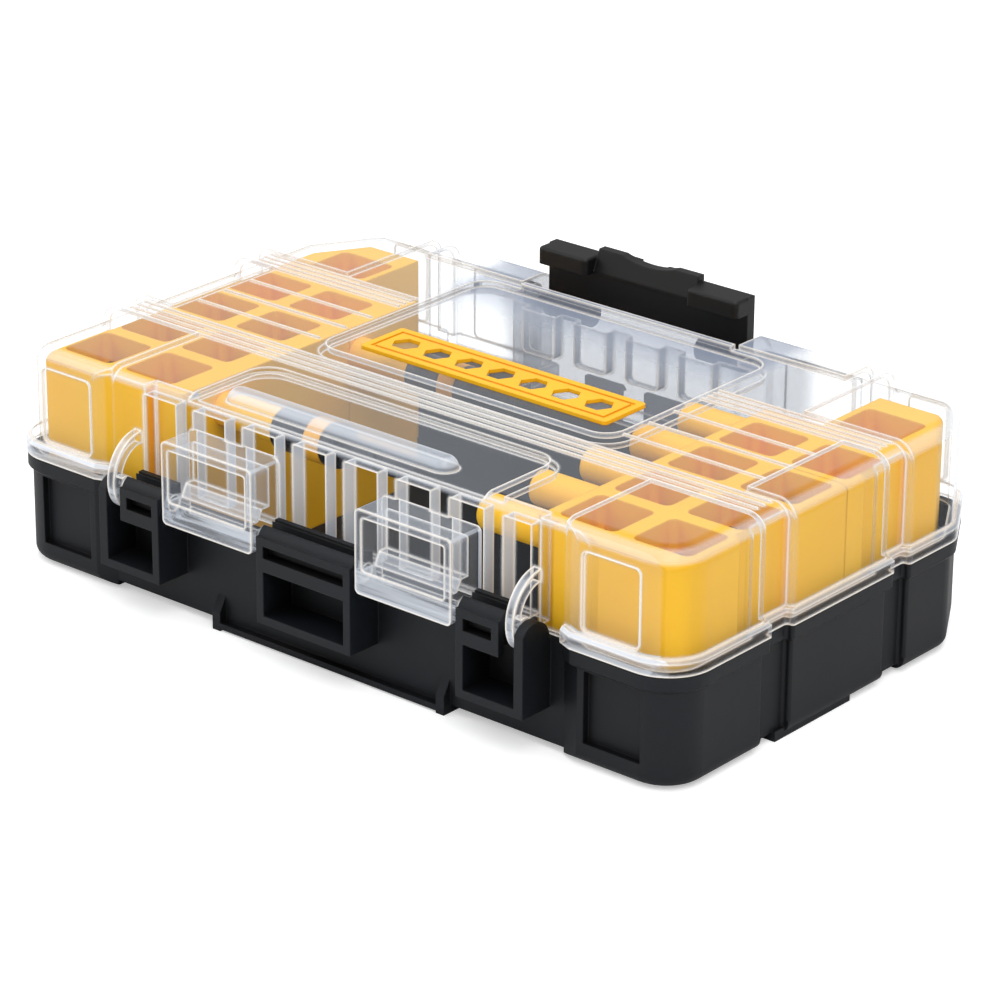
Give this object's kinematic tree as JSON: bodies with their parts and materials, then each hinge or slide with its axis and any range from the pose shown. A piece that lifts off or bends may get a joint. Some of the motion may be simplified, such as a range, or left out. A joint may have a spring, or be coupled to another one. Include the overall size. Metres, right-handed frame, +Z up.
{
  "type": "impact driver bit set",
  "caption": "Flat rectangular bit case with black tray, clear hinged lid, snap latch and rear connector loops, holding yellow bit holders with hex bits and nut drivers",
  "frame": {"origin": "on the ground under the middle of the closed case's plan", "axes": "+X along the case's length, -Y the hinge side, +Y the latch side, +Z up, lid closed and latch raised"},
  "size_m": [0.22, 0.1406, 0.073],
  "materials": {
    "case_black": "dark charcoal injection-moulded plastic with a fine matt grain",
    "clear_plastic": "clear glossy impact-resistant plastic",
    "latch_black": "dark semi-matt moulded plastic",
    "label_yellow": "plain yellow printed plate, unmarked",
    "holder_yellow": "yellow moulded plastic with a slight gloss",
    "insert_orange": "orange-yellow moulded plastic, matt, with round bit sockets",
    "bit_steel": "dark phosphated tool steel",
    "driver_steel": "black oxide turned steel",
    "band_yellow": "yellow moulded ring",
    "magnet": "nickel-plated disc magnet"
  },
  "bodies": {
    "base": {"base_tray": "case_black", "left_holder": "holder_yellow", "right_holder": "holder_yellow", "left_spare_holder": "holder_yellow", "right_spare_holder": "holder_yellow", "left_posts": "holder_yellow", "right_posts": "holder_yellow", "left_inserts": "insert_orange", "right_inserts": "insert_orange", "bits_cross_1": "bit_steel", "bits_cross_2": "bit_steel", "bits_cross_3": "bit_steel", "bits_square_1": "bit_steel", "bits_square_2": "bit_steel", "bits_square_3": "bit_steel", "bits_star_15": "bit_steel", "bits_star_20": "bit_steel", "bits_star_25": "bit_steel", "bits_star_30": "bit_steel", "bits_hex": "bit_steel", "bits_blade": "bit_steel", "nut_driver_small": "driver_steel", "nut_driver_large": "driver_steel", "nut_driver_bands": "band_yellow", "nut_driver_magnets": "magnet"},
    "lid": {"lid_shell": "clear_plastic", "label_plate": "label_yellow"},
    "latch": {"latch": "latch_black"}
  },
  "joints": [
    {"name": "lid_hinge", "type": "hinge", "parent": "base", "child": "lid", "pos_m": [0, -0.0658, 0.033], "axis": [1, 0, 0], "range_deg": [0, 180]},
    {"name": "latch_hinge", "type": "hinge", "parent": "lid", "child": "latch", "pos_m": [0, 0.0635, 0.0538], "axis": [-1, 0, 0], "range_deg": [0, 180]}
  ]
}
